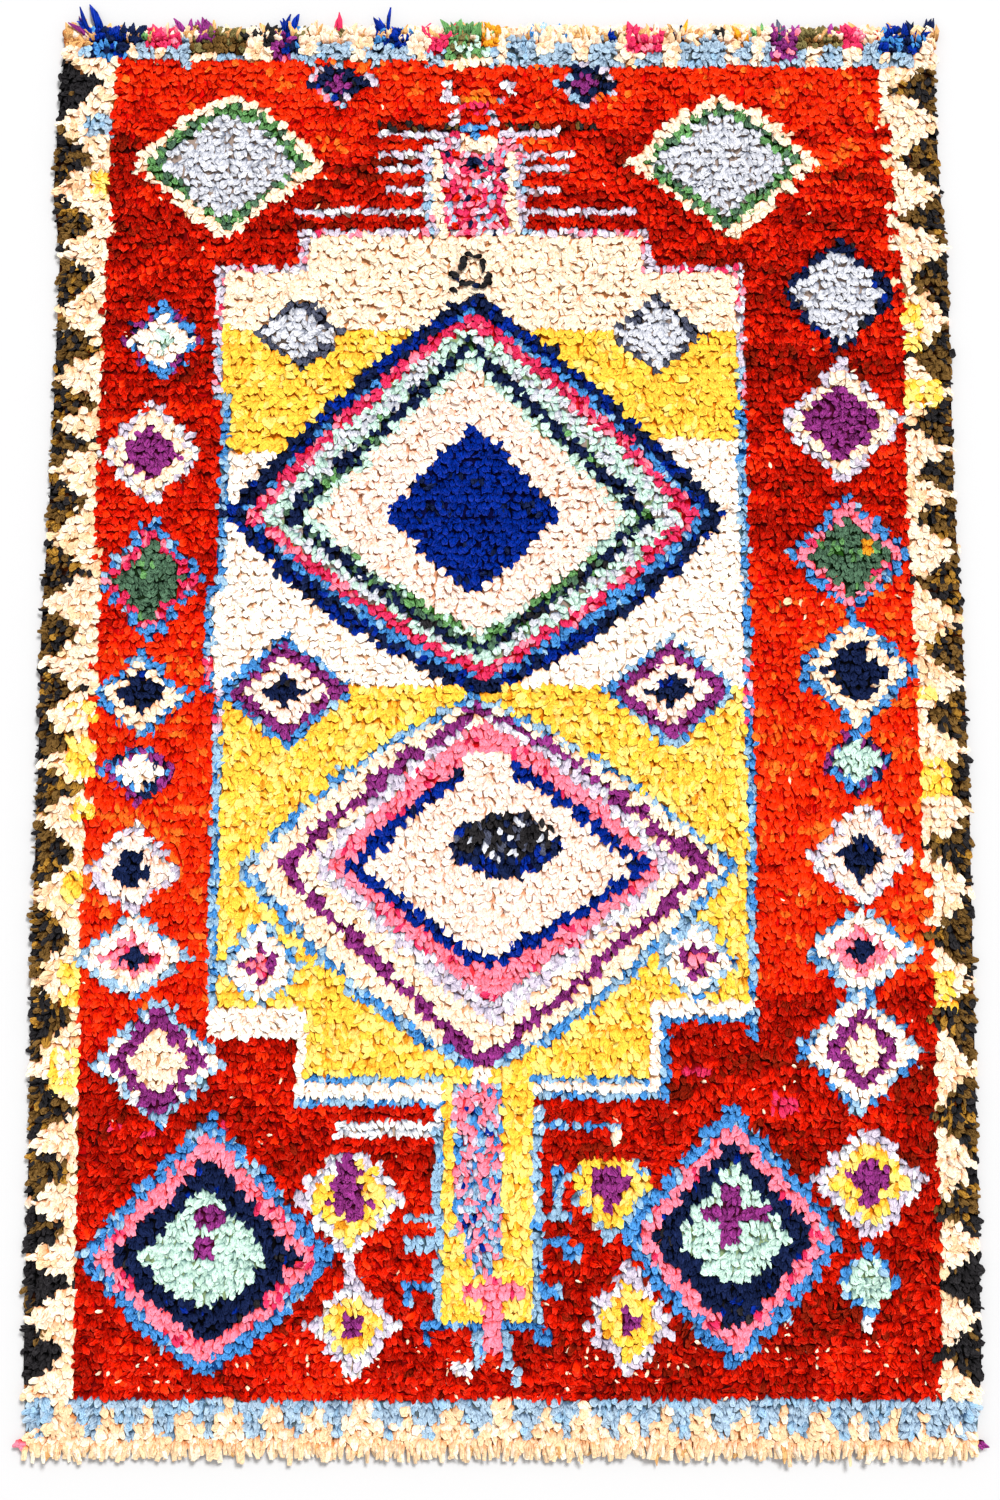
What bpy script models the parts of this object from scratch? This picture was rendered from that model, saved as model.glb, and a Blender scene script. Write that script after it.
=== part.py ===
"""Boucherouite rug, a hand-knotted rag-pile floor rug laid out flat.

Metres, +Z up. The origin is on the floor under the middle of the rug, +Y runs to its narrower top end
and +X to its right side as seen from above.
"""

import math
import random
from collections import namedtuple

import bmesh
import bpy

# Cloth and pile
CLOTH_LENGTH = 2.300  # knotted cloth between its two headings
PILE_TOP = 0.014  # usual height of the leaning pile above the floor
RIM_HEIGHT = 0.009  # the pile falls to this along the two long sides
RIM_WIDTH = 0.034  # and does so over this width
KNOT_RIDGE = 0.0020  # one band of knots stands this much over the next
LUMP = 0.0032  # uneven height from tuft to tuft
SWELL = 0.0010  # slow rise and fall of the whole pile
SWELL_LENGTHS = (0.47, 0.71)  # across and along
COLUMNS = 32  # spans across the cloth
BANDS = 105  # bands along it; every second one ends in a lock on each side
LOCK_BAND_SHARE = 1.12  # a band with locks is this much deeper than the average band

# How far the pile reaches to the left and right of the middle line, from the bottom end to the top end
Reach = namedtuple("Reach", "along left right")
SIDES = (
    Reach(-1.150, 0.768, 0.766),
    Reach(-1.040, 0.774, 0.776),
    Reach(-0.690, 0.772, 0.775),
    Reach(-0.340, 0.773, 0.774),
    Reach(-0.100, 0.768, 0.773),
    Reach(0.160, 0.767, 0.766),
    Reach(0.375, 0.757, 0.757),
    Reach(0.600, 0.751, 0.755),
    Reach(0.800, 0.747, 0.752),
    Reach(0.900, 0.760, 0.743),
    Reach(1.040, 0.753, 0.737),
    Reach(1.150, 0.745, 0.736),
)

# Short locks along the two long sides
RIM_LOCK = 0.011  # usual length
RIM_LOCK_SPREAD = 0.003  # longer or shorter by up to this
RIM_TIP = 0.55  # width and height of a lock's tip against its root

# Headings and their locks
SEAM = 0.0003  # parting between the cloth and a heading
Fringe = namedtuple("Fringe", "name end heading height locks shortest longest bunching lean colour")
FRINGES = (
    Fringe("top_fringe", 1, 0.014, 0.010, 58, 0.010, 0.046, 2.6, 0.006, (0.42, 0.34, 0.40)),
    Fringe("bottom_fringe", -1, 0.012, 0.010, 74, 0.008, 0.021, 1.2, 0.003, (0.82, 0.68, 0.48)),
)
LOCK_SHARE = 0.76  # a lock's root against its pitch along the heading
LOCK_WAIST = 0.86  # width halfway along a lock
LOCK_TIP = 0.50  # width at its tip
LOCK_FALL = (0.80, 0.45)  # height halfway along and at the tip

RUG_COLOUR = (0.48, 0.12, 0.09)
CLOTH_ROUGHNESS = 0.95


def clear_scene():
    for item in list(bpy.data.objects):
        bpy.data.objects.remove(item, do_unlink=True)


def cloth_material(name, colour):
    material = bpy.data.materials.new(name)
    material.use_nodes = True
    shader = material.node_tree.nodes["Principled BSDF"]
    shader.inputs["Base Color"].default_value = (*colour, 1.0)
    shader.inputs["Roughness"].default_value = CLOTH_ROUGHNESS
    shader.inputs["Metallic"].default_value = 0.0
    return material


def finish_object(name, bm, colour):
    """Turn the working mesh into one named object with its faces pointing out."""
    bmesh.ops.recalc_face_normals(bm, faces=bm.faces)
    mesh = bpy.data.meshes.new(name)
    bm.to_mesh(mesh)
    bm.free()
    piece = bpy.data.objects.new(name, mesh)
    bpy.context.scene.collection.objects.link(piece)
    piece.data.materials.append(cloth_material(name + "_yarn", colour))
    return piece


def smooth_step(share):
    return share * share * (3.0 - 2.0 * share)


def side_reach(along, side):
    """Distance from the middle line to the tips of the locks; side is -1 for left and 1 for right."""
    along = min(max(along, SIDES[0].along), SIDES[-1].along)
    for lower, upper in zip(SIDES, SIDES[1:]):
        if along <= upper.along:
            break
    share = smooth_step((along - lower.along) / (upper.along - lower.along))
    if side < 0:
        return lower.left + (upper.left - lower.left) * share
    return lower.right + (upper.right - lower.right) * share


def band_edges():
    """Places along the cloth where one band of knots ends and the next begins."""
    edges = [0.0]
    for band in range(BANDS):
        share = LOCK_BAND_SHARE if band % 2 else 2.0 - LOCK_BAND_SHARE
        edges.append(edges[-1] + share)
    return [(edge / edges[-1] - 0.5) * CLOTH_LENGTH for edge in edges]


def pile_height(across, along, from_side, band, rng):
    """Height of the pile: slow swells, bands of knots, uneven tufts and a falling rim."""
    across_wave, along_wave = SWELL_LENGTHS
    height = PILE_TOP
    height += SWELL * math.sin(2 * math.pi * across / across_wave + along)
    height += SWELL * math.sin(2 * math.pi * along / along_wave - 2 * across)
    height += KNOT_RIDGE if band % 2 else -KNOT_RIDGE
    height += rng.uniform(-LUMP, LUMP)
    inward = smooth_step(min(from_side / RIM_WIDTH, 1.0))
    return RIM_HEIGHT + (height - RIM_HEIGHT) * inward


def column_place(column):
    """Share of the width at which a column lies; the outer columns are close together to round the rim."""
    share = column / COLUMNS
    return share - math.sin(2 * math.pi * share) / (4 * math.pi)


def make_cloth():
    """The knotted cloth: a grid raised to the pile's height, closed below, with locks at its long sides."""
    rng = random.Random(11)
    bm = bmesh.new()
    bmesh.ops.create_grid(bm, x_segments=COLUMNS, y_segments=BANDS, size=0.5)
    along_edges = band_edges()
    for vert in sorted(bm.verts, key=lambda v: (round(v.co.y, 5), round(v.co.x, 5))):
        column = round((vert.co.x + 0.5) * COLUMNS)
        band = round((vert.co.y + 0.5) * BANDS)
        along = along_edges[band]
        left = -side_reach(along, -1) + RIM_LOCK
        right = side_reach(along, 1) - RIM_LOCK
        across = left + (right - left) * column_place(column)
        from_side = min(across - left, right - across)
        vert.co = (across, along, pile_height(across, along, from_side, band, rng))
    close_below(bm)
    pull_rim_locks(bm, rng)
    return finish_object("rug", bm, RUG_COLOUR)


def close_below(bm):
    """Walls down both long sides, a flat underside between them, and a cap at each end."""
    ends = CLOTH_LENGTH / 2 - SEAM

    def on_side(edge):
        return edge.is_boundary and not all(abs(v.co.y) > ends for v in edge.verts)

    rims = [edge for edge in bm.edges if on_side(edge)]
    walls = bmesh.ops.extrude_edge_only(bm, edges=rims)["geom"]
    for vert in [item for item in walls if isinstance(item, bmesh.types.BMVert)]:
        vert.co.z = 0.0
    feet = [item for item in walls if isinstance(item, bmesh.types.BMEdge) and is_on_floor(item)]
    bmesh.ops.bridge_loops(bm, edges=feet)
    bmesh.ops.holes_fill(bm, edges=[edge for edge in bm.edges if edge.is_boundary], sides=0)
    bmesh.ops.recalc_face_normals(bm, faces=bm.faces)


def is_on_floor(item):
    return all(vert.co.z == 0.0 for vert in item.verts)


def pull_rim_locks(bm, rng):
    """Every second wall face of the long sides is drawn out into a short tapered lock."""
    bm.normal_update()
    walls = [face for face in bm.faces if abs(face.normal.x) > 0.9]
    walls.sort(key=lambda face: (face.calc_center_median().x > 0, face.calc_center_median().y))
    per_side = len(walls) // 2
    chosen = [face for index, face in enumerate(walls) if (index % per_side) % 2]
    for tip in bmesh.ops.extrude_discrete_faces(bm, faces=chosen)["faces"]:
        side = math.copysign(1.0, tip.calc_center_median().x)
        length = RIM_LOCK + rng.uniform(-RIM_LOCK_SPREAD, RIM_LOCK_SPREAD)
        narrow_tip(tip, "y", RIM_TIP, RIM_TIP)
        for vert in tip.verts:
            vert.co.x += side * length


def narrow_tip(face, axis, width_share, height_share):
    """Draw a face in along one axis and lower its top, so that its lower side stays on the floor."""
    middle = getattr(face.calc_center_median(), axis)
    for vert in face.verts:
        place = getattr(vert.co, axis)
        setattr(vert.co, axis, middle + (place - middle) * width_share)
        vert.co.z *= height_share


def heading_places(fringe):
    """Places across the heading where a gap or a lock begins; gaps lie at both ends."""
    along = fringe.end * CLOTH_LENGTH / 2
    left = -side_reach(along, -1) + RIM_LOCK
    right = side_reach(along, 1) - RIM_LOCK
    widths = [1.0 - LOCK_SHARE]
    for _ in range(fringe.locks):
        widths += [LOCK_SHARE, 1.0 - LOCK_SHARE]
    places = [0.0]
    for width in widths:
        places.append(places[-1] + width)
    return [left + (right - left) * place / places[-1] for place in places]


def make_fringe(fringe, seed):
    """A narrow heading on the floor with a row of uneven locks on its outer side."""
    rng = random.Random(seed)
    places = heading_places(fringe)
    inner = CLOTH_LENGTH / 2 + SEAM
    bm = bmesh.new()
    cells = len(places) - 1
    bmesh.ops.create_grid(bm, x_segments=cells, y_segments=1, size=0.5)
    for vert in bm.verts:
        column = round((vert.co.x + 0.5) * cells)
        depth = fringe.heading if vert.co.y > 0 else 0.0
        vert.co = (places[column], fringe.end * (inner + depth), fringe.height)
    raised = bmesh.ops.extrude_face_region(bm, geom=bm.faces[:])["geom"]
    for vert in [item for item in raised if isinstance(item, bmesh.types.BMVert)]:
        vert.co.z = 0.0
    bmesh.ops.recalc_face_normals(bm, faces=bm.faces)
    pull_fringe_locks(bm, fringe, rng)
    return finish_object(fringe.name, bm, fringe.colour)


def pull_fringe_locks(bm, fringe, rng):
    """Every second outer face of the heading is drawn out in two steps into a leaning, tapered lock."""
    bm.normal_update()
    outer = [face for face in bm.faces if face.normal.y * fringe.end > 0.9]
    outer.sort(key=lambda face: face.calc_center_median().x)
    for face in outer[1::2]:
        spread = fringe.longest - fringe.shortest
        length = fringe.shortest + spread * rng.random() ** fringe.bunching
        lean = rng.uniform(-fringe.lean, fringe.lean)
        width = LOCK_WAIST
        for step, height in enumerate(LOCK_FALL):
            face = bmesh.ops.extrude_discrete_faces(bm, faces=[face])["faces"][0]
            fall = height if step == 0 else height / LOCK_FALL[0]
            narrow_tip(face, "x", width, fall)
            for vert in face.verts:
                vert.co.y += fringe.end * length / 2
                vert.co.x += lean / 2
            width = LOCK_TIP / LOCK_WAIST


def centre_on_floor(pieces):
    """Move every piece by the same step so that the origin is under the middle of the whole rug."""
    points = [vert.co for piece in pieces for vert in piece.data.vertices]
    middle_x = (min(p.x for p in points) + max(p.x for p in points)) / 2
    middle_y = (min(p.y for p in points) + max(p.y for p in points)) / 2
    for piece in pieces:
        for vert in piece.data.vertices:
            vert.co.x -= middle_x
            vert.co.y -= middle_y


def build_rug():
    clear_scene()
    pieces = [make_cloth()]
    for seed, fringe in enumerate(FRINGES, start=21):
        pieces.append(make_fringe(fringe, seed))
    centre_on_floor(pieces)


build_rug()
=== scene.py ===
import math
from collections import namedtuple

import bmesh
import bpy
import numpy as np
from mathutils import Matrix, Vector


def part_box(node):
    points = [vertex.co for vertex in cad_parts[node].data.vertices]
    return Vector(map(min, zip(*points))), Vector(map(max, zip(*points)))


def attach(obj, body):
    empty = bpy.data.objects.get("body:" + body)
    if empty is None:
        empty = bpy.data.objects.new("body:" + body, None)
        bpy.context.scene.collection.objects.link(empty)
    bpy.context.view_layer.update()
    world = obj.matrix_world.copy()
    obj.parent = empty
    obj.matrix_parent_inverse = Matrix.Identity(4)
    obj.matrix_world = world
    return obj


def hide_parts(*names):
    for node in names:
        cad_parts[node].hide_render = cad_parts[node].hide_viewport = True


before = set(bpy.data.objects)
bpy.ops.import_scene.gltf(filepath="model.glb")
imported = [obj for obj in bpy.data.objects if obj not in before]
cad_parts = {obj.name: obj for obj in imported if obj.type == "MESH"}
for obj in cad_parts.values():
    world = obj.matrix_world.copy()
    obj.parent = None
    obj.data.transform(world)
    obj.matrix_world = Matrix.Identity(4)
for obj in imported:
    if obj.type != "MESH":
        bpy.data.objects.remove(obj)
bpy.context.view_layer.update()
rugLow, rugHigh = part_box("rug")
middle = (np.array(rugLow) + np.array(rugHigh)) / 2 * [1, 1, 0]
scene = bpy.context.scene
print("frame loaded")

# the cloth, in metres from its own middle; sides are (along, left half, right half)
cloth = {
    "columns": 96,
    "rows": 192,
    "pileFrom": -1.163,
    "pileTo": 1.1885,
    "sides": [
        (-1.150, 0.768, 0.766), (-1.040, 0.774, 0.776), (-0.690, 0.772, 0.775), (-0.340, 0.773, 0.774),
        (-0.100, 0.768, 0.773), (0.160, 0.767, 0.766), (0.375, 0.757, 0.757), (0.600, 0.751, 0.755),
        (0.800, 0.747, 0.752), (0.900, 0.760, 0.743), (1.040, 0.753, 0.737), (1.150, 0.745, 0.736),
    ],
    "inset": 0.004,
    "rowWave": 0.0022,
    "knotSpread": (0.0014, 0.0011),
    "stray": 0.07,
}
rowPitch = (cloth["pileTo"] - cloth["pileFrom"]) / cloth["rows"]
halfAcross, halfAlong = cloth["columns"] / 2, cloth["rows"] / 2
seeds = {"pattern": 4, "petals": 7, "pile": 11, "weave": 31, "ends": 41}

# rag colours as seen, red green blue out of 255
ragColours = {
    "cream": (249, 227, 202), "ivory": (250, 240, 229), "peach": (236, 203, 162),
    "chalk": (236, 236, 238), "blush": (247, 226, 214), "yellow": (250, 201, 66),
    "straw": (252, 222, 118), "gold": (238, 160, 36), "orange": (255, 110, 30),
    "redOrange": (252, 48, 5), "red": (224, 25, 2), "brick": (182, 16, 2),
    "maroon": (136, 24, 6), "pink": (254, 136, 160), "hotPink": (234, 50, 100),
    "purple": (148, 52, 132), "lilac": (208, 197, 213), "lavender": (212, 213, 220),
    "navy": (24, 36, 74), "royal": (2, 42, 148), "blue": (72, 146, 216), "sky": (154, 190, 218),
    "mist": (168, 192, 212), "mint": (200, 230, 214), "sage": (86, 120, 94),
    "green": (108, 164, 98), "slate": (84, 88, 108), "charcoal": (44, 42, 44),
    "umber": (170, 124, 48), "brown": (116, 86, 44), "olive": (132, 120, 74),
    "tan": (222, 170, 108),
}
ragNames = list(ragColours)

# what goes into one place of the pattern, and how much of each in a hundred
blends = {
    "footCream": "cream 45, peach 55",
    "borderCream": "cream 75, peach 25",
    "hazeSky": "mist 80, sky 20",
    "headBlue": "royal 40, blue 35, navy 25",
    "headPurple": "purple 75, pink 15, lilac 10",
    "yellow": "yellow 58, straw 40, gold 2",
    "deepYellow": "yellow 85, straw 15",
    "softYellow": "yellow 28, straw 50, cream 22",
    "navy": "navy 94, royal 3, charcoal 3",
    "royalNavy": "navy 64, royal 36",
    "greenNavy": "navy 82, sage 10, green 8",
    "mossNavy": "navy 52, charcoal 14, sage 24, green 10",
    "mossMint": "green 34, sage 24, mint 42",
    "royal": "royal 95, navy 5",
    "blue": "blue 88, sky 12",
    "sky": "sky 84, blue 10, chalk 6",
    "blueSky": "sky 50, blue 50",
    "bluePurple": "blue 50, purple 40, navy 10",
    "pink": "pink 90, hotPink 10",
    "pinkLilac": "pink 50, lilac 50",
    "edgePink": "pink 25, hotPink 15, blue 35, lilac 25",
    "hotPink": "hotPink 80, pink 20",
    "lilac": "lilac 60, chalk 40",
    "greyMint": "mint 55, lavender 45",
    "sage": "sage 93, green 7",
    "green": "green 60, sage 40",
    "lime": "green 50, olive 30, mint 20",
    "charcoal": "charcoal 90, navy 10",
    "olive": "olive 60, brown 40",
    "flame": "orange 45, gold 35, redOrange 20",
    "umber": "maroon 34, brown 24, charcoal 42",
    "sawBrown": "brown 52, charcoal 38, umber 10",
    "sawBlack": "charcoal 90, brown 10",
    "pinkRed": "hotPink 40, red 60",
    "rustGold": "orange 40, peach 22, redOrange 38",
    "stepLilac": "lilac 62, pink 14, hotPink 6, chalk 18",
    "edgeLilac": "lilac 60, sky 25, pink 15",
    "confetti": "pink 28, hotPink 30, lilac 12, sky 8, navy 6, chalk 10, red 6",
    "softConfetti": "pink 42, blue 18, lilac 17, sky 18, royal 5",
    "nightEye": "charcoal 50, navy 20, slate 20, lavender 10",
}
plainRags = "cream ivory blush purple lavender mint slate chalk gold tan"
blends.update({rag: rag for rag in plainRags.split()})
blendNames = list(blends)

# the pattern is counted in knots: across from the middle, along from the bottom edge.
# crown and heel are how far the upper and lower sides bulge (0 straight, 1 round),
# slide and nod move the lower and the upper tip sideways, cut takes off the upper tip
Lozenge = namedtuple(
    "Lozenge", "across along half above below rings crown heel slide nod cut", defaults=[0, 0, 0, 0, 9])
Bar = namedtuple("Bar", "left right low high")
Wave = namedtuple("Wave", "middle half reach")
lozengeRim = 0.4

# the stepped field in the middle: left, right, low, high
fieldSteps = [
    (-7.2, 2, 161, 174.2),
    (-21.1, 15, 156, 162),
    (-30, 25.1, 140, 157),
    (-29, 25.1, 112, 141),
    (-29.7, 24.9, 100, 113),
    (-29.4, 24.8, 57, 101),
    (-20.2, 15.7, 48, 58),
]
fieldBands = [(149.4, "cream"), (131.8, "deepYellow"), (99.7, "ivory"), (0, "yellow")]
fieldEdges = [(147, "stepLilac"), (140, "edgeLilac"), (104, "blueSky"), (94, "edgePink"), (0, "blueSky")]

# lozenges, a row in the columns of Lozenge
greatLozenges = [
    (-2.8, 123.3, 26.4, 31.2, 24.8, "royalNavy 2.2, blue", 0.30, 0.54, 0.9, -0.6),
    (-3.1, 123.3, 23.7, 28.1, 22.2, "hotPink 1.7, greyMint", 0.27, 0.30, 1.2, -0.4),
    (-3.4, 123.3, 19.3, 24.7, 19.2, "greenNavy 1.8, mint 1.3, blush", 0, 0.30, 1.2, -0.2),
    (-3.4, 123.3, 19.3, 24.7, 19.2, "mossNavy 1.9, mossMint 1.4, blush", 0, 0.30, 1.2, -0.2, -0.2),
    (-3.1, 123.4, 9, 12.6, 10.8, "royal", 0.10, 0.20),
    (-1.5, 75.8, 25.4, 23.2, 28.1, "blueSky 1.4, cream", 0.40, 0.45, -0.6, -1.3),
    (-0.7, 75.7, 22.3, 22, 27.2, "purple 2, cream", 0.24, 0.05, -1.5, -1.7),
    (-0.7, 75.8, 18.4, 20, 21.6, "lilac", 0.50, 0.10, -0.4, -0.9),
    (-0.7, 75.8, 16.9, 19.4, 18.4, "pink", 0.34, 0.12, -0.3, -0.9),
    (-0.5, 75.8, 15.2, 15.2, 13.8, "royal 2, blush", 0.46, 0.25, -1, -0.8),
    (0.2, 78.5, 5.9, 4.8, 4.6, "royalNavy", 1, 1),
    (0.2, 79.4, 5, 3.8, 3, "nightEye", 1, 1),
]
smallLozenges = [
    # inside the field
    (-21.9, 148.4, 4.9, 5.5, 5.3, "slate 1.1, lavender"),
    (16.5, 148.4, 4.8, 5.5, 5.5, "slate 1.1, lavender"),
    (-22.4, 99.5, 6.7, 7.6, 8.2, "blue 1.2, purple 1.6, blush 1.9, navy", 0.08, 0.08),
    (17.4, 99.6, 6.8, 7.6, 8.1, "blueSky 1.2, purple 1.6, blush 1.9, navy", 0.08, 0.08),
    (-24.6, 62.5, 4.1, 7, 5.2, "sky 1, ivory 1.4, purple 1, pink", 0, 0.59),
    (19.8, 63.2, 4.1, 6.6, 5.6, "sky 1, ivory 1.4, purple 1, pink", 0, 0.26),
    # along the top
    (-29.1, 172.3, 9.9, 9.8, 10.6, "cream 1.3, green 1.6, lavender", 0.62, 0.16, -0.8),
    (24.6, 172.4, 9.7, 9.6, 10.8, "cream 1.3, green 1.6, lavender", 0.62, 0.13),
    (-17.5, 183.6, 3.9, 3.3, 3.4, "edgeLilac 0.9, navy 1.6, purple", 0.2),
    (9.7, 183.6, 3.6, 3.3, 3.4, "edgeLilac 0.8, navy 1.6, purple", 0.2),
    # down the left
    (-36.5, 147.4, 4.3, 5.6, 5.2, "bluePurple 1.3, ivory 1.8, mint"),
    (-37.3, 131.8, 5.2, 7.9, 7.4, "lilac 1.1, cream 1.3, purple", 0.13, 0.13),
    (-36.8, 114.4, 5.4, 8.8, 8.6, "blue 0.9, hotPink 1, sage"),
    (-37.4, 98.7, 4.8, 6.1, 5.9, "blue 1.1, cream 1.3, navy"),
    (-37.6, 88.3, 3.8, 4.3, 4.3, "bluePurple 1.8, ivory", 0.13, 0.13),
    (-37.9, 75.2, 4.9, 6.9, 6, "lilac 1.3, blush 1.6, navy"),
    (-37.6, 63.7, 5.9, 6, 5.8, "sky 1.1, ivory 1.9, pink 1.8, navy", 0.13, 0.13),
    (-34.9, 49.7, 6.6, 8.8, 8.6, "sky 1, ivory"),
    (-35, 49.8, 4.5, 7.9, 7.6, "purple 1.9, cream"),
    # down the right
    (36.2, 154, 6.1, 8.4, 8.5, "navy 1.1, lavender"),
    (36.1, 136.2, 6.4, 8.6, 8.7, "lilac 1.1, cream 1.1, purple"),
    (36.6, 117.8, 6.4, 8.5, 8.4, "blue 1.1, pink 1.2, sage"),
    (36.8, 102.1, 6.2, 7.8, 8.6, "blue 1.1, cream 1.7, navy"),
    (36.4, 89.8, 3.6, 4.9, 4.8, "bluePurple 1.3, mint", 0.13),
    (36.8, 77.1, 5.4, 7.8, 6.6, "lilac 1.2, blush 1.8, navy"),
    (36.7, 64.5, 5.7, 6.7, 6.6, "blueSky 1, ivory 1.6, pink 1.8, navy"),
    (36.4, 51.2, 6.4, 9, 8.8, "blueSky 1, ivory"),
    (36.5, 51.4, 3.6, 6, 5.8, "purple 1.8, cream", 0.2, 0.2),
    (37, 34.2, 5.4, 7.4, 8.4, "lilac 1.5, yellow 1.9, purple", 0.26),
    (36.8, 20.7, 3.2, 5.4, 3.8, "blue 0.9, mint", 0.26, 0.26),
    # in the foot of the rug
    (-29.8, 24.4, 12.6, 18.5, 15.5, "blue 1.7, pink 2, navy", 0.13, 0.44),
    (-30, 24.4, 6.2, 9.5, 5.9, "mint", 0, 0.99),
    (23.2, 27.1, 11.1, 17.4, 17.8, "blue 1.6, pink 1.7, navy", 0.11, 0.21),
    (23.2, 27.2, 5.4, 10, 6.2, "mint", 0, 0.99),
    (-15.4, 31.9, 5.2, 8, 8.1, "lilac 1.4, yellow", 0.48, 0, 0, 0, 0.72),
    (-15.6, 35.8, 1.2, 1.8, 1.8, "purple", 0.9, 0.9),
    (-15.5, 31.6, 1.8, 2.8, 3.2, "purple", 0.6, 0.5),
    (-15, 15.7, 4.3, 6.2, 6.9, "lilac 1.5, yellow 1.8, purple", 0.2, 0.2),
    (10.8, 33.9, 4.3, 4.9, 8.1, "sky 0.7, yellow 1.7, purple", 1, 0, 0, 0, 0.55),
    (12.7, 15.9, 4.2, 7.6, 7.3, "lilac 1.4, yellow 1.8, purple", 0.2, 0.2),
]

# bars by blend, each in the columns of Bar
hemBars = [
    ("ivory", [(14, 25.2, 131.6, 134), (-30, -20, 53.2, 57), (-21, -20, 44, 53.4), (-20.2, -6, 45, 47),
               (3, 16, 46, 47)]),
    ("blueSky", [(-20.2, 16, 47, 48.2), (-21, -6, 44, 45), (3, 17, 45, 46)]),
    ("ivory", [(15, 16, 46, 57), (15, 25.8, 56, 57.6)]),
    ("blue", [(16, 17, 45, 56), (16, 26, 55, 56), (25, 26, 53, 57)]),
]
headBars = [
    ("edgeLilac", [(-8, 3, 161.7, 174.2)]),
    ("cream", [(-7, 2, 160, 174.2)]),
    ("confetti", [(-6, 0.8, 162.2, 174.6)]),
    ("pinkLilac", [(-6, 2, 174, 176)]),
    ("cream", [(-4, 0, 174, 175.6)]),
    ("umber", [(-13, -3.8, 177, 178), (0.2, 11.2, 177, 178)]),
    ("lilac", [(-12.8, -3.8, 176, 177), (-13, -7.2, 173, 174), (-13.2, -7.2, 171, 172),
               (-12.1, -7.2, 168, 169), (-21.8, -7.4, 165, 166), (0, 7.4, 176, 177), (3, 7.6, 173, 174),
               (3, 7.6, 171, 172), (3, 7.4, 168, 169), (3, 15.2, 165, 166)]),
]
# the horned V over it
hornBars = [
    ("flame", [(-4, -1, 182, 183), (-4, 0, 180.6, 182)]),
    ("pinkRed", [(-4, -1, 178.6, 180.6)]),
    ("lilac", [(-6, -5, 182, 184), (-6, -4.4, 181, 182), (-5, -3.8, 178, 180), (0, 2, 183, 184),
               (1, 2, 182, 183)]),
    ("edgeLilac", [(0, 1, 180.6, 182), (-1.2, 0, 178, 180)]),
    ("blueSky", [(-4, -1, 177, 178), (-3, -2, 176, 177)]),
    ("hotPink", [(-5, -4, 176, 177)]),
]
footBars = [
    ("sky", [(-7.4, 4.1, 15.8, 44), (-3, -2, 10, 16), (0, 1, 10, 16), (1, 2, 8, 10), (-10, -7, 29, 30),
             (-10.4, -7, 25, 27)]),
    ("yellow", [(-6, 3, 16, 48.4)]),
    ("softConfetti", [(-5, 0, 26.6, 46.8), (-4, 0, 24, 26.8), (-3, -1, 21.6, 24)]),
    ("pink", [(-2, 0, 12, 22), (-4.2, 2, 19, 20.6)]),
    ("ivory", [(-3.4, -1, 46.8, 48.8)]),
    ("lilac", [(-5, -3, 9, 11)]),
    ("chalk", [(-17, -7.2, 40, 41.6)]),
    ("blue", [(-10.2, -7, 20, 21), (-10.2, -9.2, 18.4, 20.2), (-8.4, -2.4, 15, 16),
              (-8.4, -7.2, 13.4, 15.4), (3.8, 12, 41, 42.2), (3.6, 7.4, 25.6, 27), (6.2, 7.6, 24, 26),
              (3.6, 6, 18.8, 20.6), (0, 4.4, 15, 16), (3.4, 4.6, 13, 15.4)]),
    ("cream", [(11, 12.2, 39.2, 41)]),
    ("blueSky", [(5.2, 6.4, 30, 36.4)]),
    ("sky", [(3.6, 7.4, 29, 30.4)]),
]
crossBars = [
    ("purple", [(-31.2, -28, 28, 30.6), (-30.6, -29.2, 23.6, 27), (22.4, 24.4, 25.6, 33.6),
                (20, 26.8, 29.2, 31.2)]),
    ("blush", [(-4, 1, 88, 90.6)]),
    ("lilac", [(-15.8, -15, 21, 25), (12, 13.4, 21.4, 24.4)]),
    ("gold", [(38.2, 39.4, 118.4, 120)]),
    ("chalk", [(36.2, 37.4, 14.8, 17)]),
]
# the little crown over the great lozenge is tied between the knots: across, along, turn
crownTies = {
    "charcoal": [(-3.5, 159.5, 80), (-2.9, 159.3, -80), (-4.2, 158.6, 12), (-4.3, 157.8, -8),
                 (-2.2, 158.2, -10), (-2.1, 157.5, 6), (-5.3, 156.9, 70), (-1.8, 156.6, -60),
                 (-1.8, 155.9, -90), (-4.2, 155.4, 85), (-3.6, 155.7, 95), (-5.2, 154.6, 60),
                 (-2, 155, 0)],
    "navy": [(-5, 156.3, 100), (-3.1, 155.1, -85)],
}
# odd rags along the head, in the cream borders and in the red
headPatches = [
    ("headBlue", [(-45.2, -41.4, 187.4, 193), (-13.6, -10.2, 188.6, 193), (42.2, 47, 188, 193)]),
    ("navy", [(-42, -39.4, 189, 193)]),
    ("tan", [(-48, -45, 188.6, 193)]),
    ("hotPink", [(-38.8, -34.6, 189, 193), (-8.4, -5.6, 188, 190.6), (14.2, 18.4, 188, 192),
                 (37.6, 39.6, 189, 193)]),
    ("olive", [(-34.2, -28, 188.4, 192), (33.2, 37.6, 188.6, 192)]),
    ("charcoal", [(-26.2, -23.6, 188.8, 193)]),
    ("headPurple", [(-24.8, -22.8, 187, 190), (30.4, 33.2, 187, 193)]),
    ("headBlue", [(-23.6, -21.8, 188, 193)]),
    ("lime", [(-5.8, -1, 187, 193)]),
    ("gold", [(-1.6, 0.4, 189, 193)]),
]
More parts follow.
